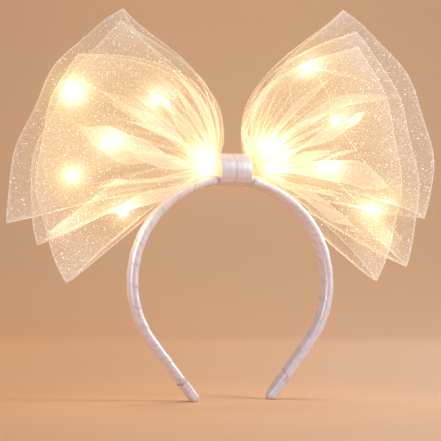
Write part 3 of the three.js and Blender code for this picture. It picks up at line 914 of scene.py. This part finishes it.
def net_values(points, across, doubled, front, from_fold, net):
    """Flat place, cover, colour with painted lamp light, and a painted glow at each point of a ring of net.
    """
    width = net["width"]
    down = np.gradient(points, across[0], axis=1)
    ahead = (np.roll(points, -1, 0) - np.roll(points, 1, 0)) / 2
    normal = np.cross(ahead, down)
    facing = np.abs(normal[..., 1]) / np.maximum(np.linalg.norm(normal, axis=-1), 1e-9)
    gather = np.clip(width / np.maximum(np.linalg.norm(down, axis=-1), 1e-6), *GATHERS)
    threads = (gather / np.maximum(facing, LEAST_FACING)) ** COVER_POWER
    margin = smoothstep(reach_share(points), *MARGIN)
    threads = threads * (1 + MARGIN_COVER * margin) * net["threads"]
    threads = threads * mix(*FACE_COVERS, front) * (1 + DOUBLED_COVER * doubled * mix(0.5, 1, front))
    threads = threads * (1 + HEM_COVER * smoothstep(np.abs(2 * across - 1), HEM_START, 1))
    cover = 1 - (1 - THREAD_SHARE) ** threads
    from_edge = np.minimum(across, 1 - across) * width
    cover = cover + EDGE_COVER * np.exp(-((from_edge / EDGE_WIDTH) ** 2))
    cover = cover + FOLD_COVER * np.exp(-((from_fold / FOLD_WIDTH) ** 2))
    way = np.cumsum(np.linalg.norm(ahead, axis=-1).mean(1))[:, None]
    glow = lamp_glow(points)
    painted_lamp_warmth = 1 - np.exp(-glow / WARM_GLOW)
    return {
        "flat": flat_place(way, across * width),
        "cover": np.clip(cover, 0, 0.95),
        # Painted lamp light: a gold tint of the colour and a glow, both strongest near the lamps.
        "lamplit_tint": mix(NET_WHITE, NET_LAMPLIT_GOLD, (painted_lamp_warmth * (1 - 0.8 * doubled))[..., None]),
        "doubled": doubled,
        "painted_light": glow_colour(glow) * (1 + DOUBLED_SHINE * doubled)[..., None],
    }


net_pieces = {}
for name, (points, *measures) in rings.items():
    surface = sheet_surface(points, net_values(points, *measures, NETS[name]), wrap_rows=True)
    net_pieces[name] = make_piece(f"loop_{name}", surface, net_finish, closed=False)
    net_pieces[name].visible_shadow = False
    dress(net_pieces[name], "glitter_net", name)

# %% [markdown]
# ## Glitter
# Loose flakes of glitter stick to the threads. Each is a tiny flat diamond with its own tilt. A random
# painted glint makes some flakes whiter and lets them glow, and all glow with a painted share of the lamps'
# light. They are dropped on the net at random, from a fixed seed, more of them towards the outer edge.

# %% Glitter flakes
FLAKE_COUNT = 5400
FLAKE_SIZES = (0.14, 0.46)
FLAKE_THICKNESS = 0.4
FLAKE_GLINT_GLOW = 1.5
FLAKE_GLOW = 0.8

flake_finish, flow = start_finish("glitter_flakes")
# Painted glints: some flakes are painted whiter and glow, and all glow with a share of the lamps' light.
end_finish(flow, {
    "Base Color": own_value(flow, "painted_glint").blend((0.80, 0.74, 0.72, 1), (1, 0.98, 0.97, 1)),
    "Roughness": 0.3,
    "Emission Color": own_vector(flow, "painted_light"),
    "Emission Strength": 1.0,
})


def unit(vectors):
    """Vectors of length 1 in the same directions."""
    return vectors / np.linalg.norm(vectors, axis=-1, keepdims=True)


def flakes_on(points, seed):
    """Diamonds of six points and eight faces at random places of a ring of net."""
    random = np.random.default_rng(seed)
    corner = points[:, :-1]
    ahead, down = np.roll(points, -1, 0)[:, :-1] - corner, points[:, 1:] - corner
    area = np.linalg.norm(np.cross(ahead, down), axis=-1)
    weight = (area * (0.1 + np.clip(reach_share(corner), 0, 1) ** 3)).ravel()
    chosen = random.choice(weight.size, FLAKE_COUNT, p=weight / weight.sum())
    u, v = random.random((2, FLAKE_COUNT, 1))
    corner, ahead, down = (grid.reshape(-1, 3)[chosen] for grid in (corner, ahead, down))
    centre = corner + u * ahead + v * down
    tilt = unit(random.normal(size=(FLAKE_COUNT, 3)))
    first = unit(np.cross(tilt, unit(random.normal(size=(FLAKE_COUNT, 3)))))
    second = np.cross(tilt, first)
    size = mix(*FLAKE_SIZES, random.random((FLAKE_COUNT, 1)) ** 2)
    top = FLAKE_THICKNESS * tilt
    arms = np.stack([first, second, -first, -second, top, -top], 1)
    spots = centre[:, None] + size[:, None] * arms
    around = np.arange(4)
    after = (around + 1) % 4
    upper = np.stack([around, after, np.full(4, 4)], 1)
    lower = np.stack([after, around, np.full(4, 5)], 1)
    faces = np.arange(FLAKE_COUNT)[:, None, None] * 6 + np.concatenate([upper, lower])
    painted_glint = random.random((FLAKE_COUNT, 1)) ** 2
    # Painted glint and painted lamp glow of each flake.
    light = glow_colour(lamp_glow(centre)) * FLAKE_GLOW + FLAKE_GLINT_GLOW * painted_glint**2
    values = {
        "painted_glint": np.repeat(painted_glint[:, 0], 6),
        "painted_light": np.repeat(light, 6, axis=0),
    }
    return spots.reshape(-1, 3), [faces.reshape(-1, 3)], values


MIDDLE_COLUMN = 120
for seed, (name, (points, *_)) in enumerate(rings.items()):
    flakes = make_piece(f"flakes_{name}", flakes_on(points, seed), flake_finish)
    flakes.visible_shadow = False
    dress(flakes, "glitter_net")
    length = float(np.linalg.norm(np.diff(points[:, MIDDLE_COLUMN], axis=0), axis=1).sum())
    flat = (NETS[name]["width"] * MM, round(length) * MM)
    print(name, "is", np.round(flat, 3).tolist(), "m when flat")

# %% [markdown]
# ## Wire and lamps
# The wire is a round tube along the route. A lamp is a drop of clear resin, cast over a tiny chip on the
# wire, so it is a smooth bead that thins out along the wire at both ends.

# %% Wire and lamp finishes
wire_finish, flow = start_finish("lamp_wire")
scratches = own_vector(flow, "weave").stretched(0.2, 6, 1).noise(1.0, 3.0)
end_finish(flow, {
    "Base Color": scratches.rise(0.3, 0.7).blend((0.74, 0.60, 0.45, 1), (0.86, 0.74, 0.58, 1)),
    "Metallic": 0.8,
    "Roughness": scratches * 0.2 + 0.3,
})

lamp_finish, flow = start_finish("lamp_resin")
core = own_value(flow, "core")
end_finish(flow, {
    "Base Color": (1, 0.93, 0.78, 1),
    "Roughness": 0.15,
    "Emission Color": core.blend((1.0, 0.70, 0.32, 1), (1.0, 0.95, 0.80, 1)),
    "Emission Strength": 55.0,
})

# %% Wire and lamp pieces
WIRE_RADIUS = 0.26
WIRE_STEPS = 14
WIRE_SIDES = 10
LAMP_RADIUS = 2.0
LAMP_END_RADIUS = 0.3
LAMP_HALF_LENGTH = 2.6
LAMP_ROUNDING = 0.62


def turned_tube(place, heading, radius, columns):
    """Rings of some radius round a path in the plane of x and z, each square to the path."""
    round_angle = 2 * np.pi * np.arange(columns) / columns
    sideways = np.stack([-heading[:, 1], heading[:, 0]], -1)[:, None]
    offset = radius[:, None, None] * np.cos(round_angle)[None, :, None] * sideways
    depth = radius[:, None] * np.sin(round_angle)[None, :]
    centre = place[:, None]
    return np.stack([centre[..., 0] + offset[..., 0], depth, centre[..., 1] + offset[..., 1]], -1)


for side_name, route in ROUTES.items():
    place, heading = wire_curve(route, WIRE_STEPS)
    travel = np.concatenate([[0], np.cumsum(np.linalg.norm(np.diff(place, axis=0), axis=1))])
    tube = turned_tube(place, heading, np.full(len(place), WIRE_RADIUS), WIRE_SIDES)
    angle = np.arange(WIRE_SIDES) / WIRE_SIDES
    weave = flat_place(travel[:, None], angle[None, :])
    wire = make_piece(f"wire_{side_name}", tube_surface(tube, {"weave": weave}), wire_finish)
    dress(wire, "lamp_wire", f"light_wire_{side_name}")

    beads = []
    for at in LAMPS_AT[side_name]:
        centre, direction = place[at * WIRE_STEPS], heading[at * WIRE_STEPS]
        share = np.sin(np.linspace(-np.pi / 2, np.pi / 2, 22))
        radius = mix(LAMP_END_RADIUS, LAMP_RADIUS, (1 - share**2) ** LAMP_ROUNDING)
        line = centre + direction * share[:, None] * LAMP_HALF_LENGTH
        shape = turned_tube(line, np.broadcast_to(direction, line.shape), radius, 24)
        thickness = np.broadcast_to((radius / LAMP_RADIUS)[:, None], shape.shape[:2])
        beads.append(tube_surface(shape, {"core": thickness}))
    lamps = make_piece(f"lamps_{side_name}", join_surfaces(beads), lamp_finish)
    lamps.visible_diffuse = False
    lamps.visible_glossy = False
    dress(lamps, "lamp_resin", *[f"lamp_{side_name}_{k + 1}" for k in range(len(beads))])

# %% [markdown]
# ## The studio
# The headband stands on a sheet of paper that sweeps up into a wall far behind it. The paper is one
# profile, floor, bend and wall, carried sideways. A painted shade darkens it from the floor to the wall
# and from the right to the left.

# %% Backdrop
PAPER_FLOOR = (0.73, 0.49, 0.332, 1)
PAPER_WALL_SHADED = (0.525, 0.328, 0.193, 1)
PAPER_FLOOR_LEFT_SHADED = (0.635, 0.35, 0.173, 1)
PAPER_WALL_LEFT_SHADED = (0.49, 0.293, 0.168, 1)
PAPER_NEAR = -2600.0
PAPER_BEND = 1500.0
BEND_RADIUS = 900.0
PAPER_TOP = 3600.0
PAPER_HALF_WIDTH = 3600.0
PAPER_RISE = (900.0, 2500.0)
PAPER_SPREAD = (-0.22, 0.3)
SPREAD_DISTANCE = 900.0

paper, flow = start_finish("paper")
fibres = own_vector(flow, "flat").noise(0.05, 4.0)
rise = own_value(flow, "rise") + fibres * 0.03
# Painted shade: the wall and the left side of the paper are darker than the floor.
end_finish(flow, {
    "Base Color": own_value(flow, "side").blend(
        rise.blend(PAPER_FLOOR, PAPER_WALL_SHADED), rise.blend(PAPER_FLOOR_LEFT_SHADED, PAPER_WALL_LEFT_SHADED)
    ),
    "Roughness": 0.75,
    "Specular IOR Level": 0.2,
})


def paper_sweep():
    """The profile of floor, quarter circle and wall, carried sideways, square to the camera."""
    bend = np.linspace(0, np.pi / 2, 40)
    floor = np.stack([np.linspace(PAPER_NEAR, PAPER_BEND, 50), np.zeros(50)], -1)
    curve = np.stack([PAPER_BEND + BEND_RADIUS * np.sin(bend), BEND_RADIUS * (1 - np.cos(bend))], -1)
    wall = np.stack([np.full(20, PAPER_BEND + BEND_RADIUS), np.linspace(BEND_RADIUS, PAPER_TOP, 20)], -1)
    profile = np.concatenate([floor, curve[1:], wall[1:]])[:, None]
    sideways = np.linspace(-PAPER_HALF_WIDTH, PAPER_HALF_WIDTH, 120)[None, :]
    turn = np.radians(CAMERA_YAW)
    x = sideways * np.cos(turn) - profile[..., 0] * np.sin(turn)
    y = sideways * np.sin(turn) + profile[..., 0] * np.cos(turn)
    z = np.broadcast_to(profile[..., 1], x.shape)
    # The shares of the painted shade towards the wall and towards the left.
    rise = np.broadcast_to(smoothstep(profile.sum(-1), *PAPER_RISE), x.shape)
    spread = sideways / (SPREAD_DISTANCE + np.maximum(profile[..., 0], 0))
    side = np.broadcast_to(1 - smoothstep(spread, *PAPER_SPREAD), x.shape)
    points = np.stack([x, y, z], -1)
    return sheet_surface(points, {"rise": rise, "side": side, "flat": points})


backdrop = make_piece("backdrop", paper_sweep(), paper, closed=False)

# %% [markdown]
# ## Light
# A large soft light stands to the right and a weaker one to the left, so the satin shows long highlights.
# The wall light reaches only the paper. The lamps' own light is added as small warm point lights, which
# reach the ribbon beside them. Three more warm lights stand for the net's glow, unseen by the camera.

# %% Lights
def area_light(name, place, aim, size, power, colour):
    """A square area light at a place in metres, turned to face a point."""
    data = bpy.data.lights.new(name, "AREA")
    data.size = size
    data.energy = power
    data.color = colour
    light = bpy.data.objects.new(name, data)
    light.location = place
    away = np.array(place) - np.array(aim)
    flat_distance = np.hypot(away[0], away[1])
    light.rotation_euler = (np.arctan2(flat_distance, away[2]), 0, np.arctan2(away[1], away[0]) + np.pi / 2)
    scene.collection.objects.link(light)
    return light


TARGET = (0, 0, 0.14)
area_light("key", (1.5, -1.1, 0.95), TARGET, 0.7, 30, (0.95, 0.98, 1.0))
area_light("fill", (-1.6, -0.5, 0.4), TARGET, 1.0, 15, (0.99, 0.94, 0.95))
area_light("top", (0.1, -1.5, 1.5), TARGET, 1.4, 2, (1.0, 0.98, 0.98))
wall_light = area_light("wall", (0.2, 1.1, 2.4), (0.8, 2.2, 0.6), 1.6, 41, (1.0, 0.98, 0.96))
lit_paper = bpy.data.collections.new("lit_paper")
lit_paper.objects.link(backdrop)
wall_light.light_linking.receiver_collection = lit_paper

world = bpy.data.worlds.new("studio")
world.use_nodes = True
room = world.node_tree.nodes["Background"]
room.inputs["Color"].default_value = (0.92, 0.90, 1.0, 1)
room.inputs["Strength"].default_value = 0.26
scene.world = world

LAMP_WATTS = (0.0035, 0.004)
LAMP_COLOUR = (1.0, 0.72, 0.36)
for number, (x, z) in enumerate(LAMP_PLACES):
    data = bpy.data.lights.new(f"lamp_light_{number}", "POINT")
    data.energy = mix(*LAMP_WATTS, smoothstep(abs(x), 25, 45))
    data.shadow_soft_size = 0.004
    data.color = LAMP_COLOUR
    light = bpy.data.objects.new(f"lamp_light_{number}", data)
    light.location = (x * MM, 0, z * MM)
    light.visible_glossy = False
    scene.collection.objects.link(light)

net_glows = {
    "left": ((-0.1, 0, 0.12), (-0.066, 0, 0.08), 0.05, 0.022, (1, 0.82, 0.6)),
    "right": ((0.1, 0, 0.12), (0.066, 0, 0.08), 0.05, 0.022, (1, 0.82, 0.6)),
    "knot": ((0, 0, 0.205), (0, 0, 0.15), 0.06, 0.01, (1, 0.48, 0.14)),
}
for name, glow in net_glows.items():
    area_light(f"net_glow_{name}", *glow).visible_camera = False

# %% [markdown]
# ## The picture
# Many layers of net lie behind each other, so a ray may pass many see-through faces. The lens spreads a
# little of the lamps' light, which the compositor adds.

# %% Picture settings
scene.cycles.transparent_max_bounces = 64
scene.cycles.denoising_prefilter = "NONE"
scene.view_settings.view_transform = "Standard"
scene.use_nodes = True
scene.node_tree.nodes.clear()
picture = Flow(scene.node_tree)
spread = {"Threshold": 3.0, "Strength": 1.0, "Size": 0.6, "Tint": (1.0, 0.84, 0.5, 1)}
layers = picture.node("CompositorNodeRLayers")
bloom = picture.node("CompositorNodeGlare", {"Image": layers, **spread}, {"glare_type": "BLOOM"})
picture.node("CompositorNodeComposite", {"Image": bloom})
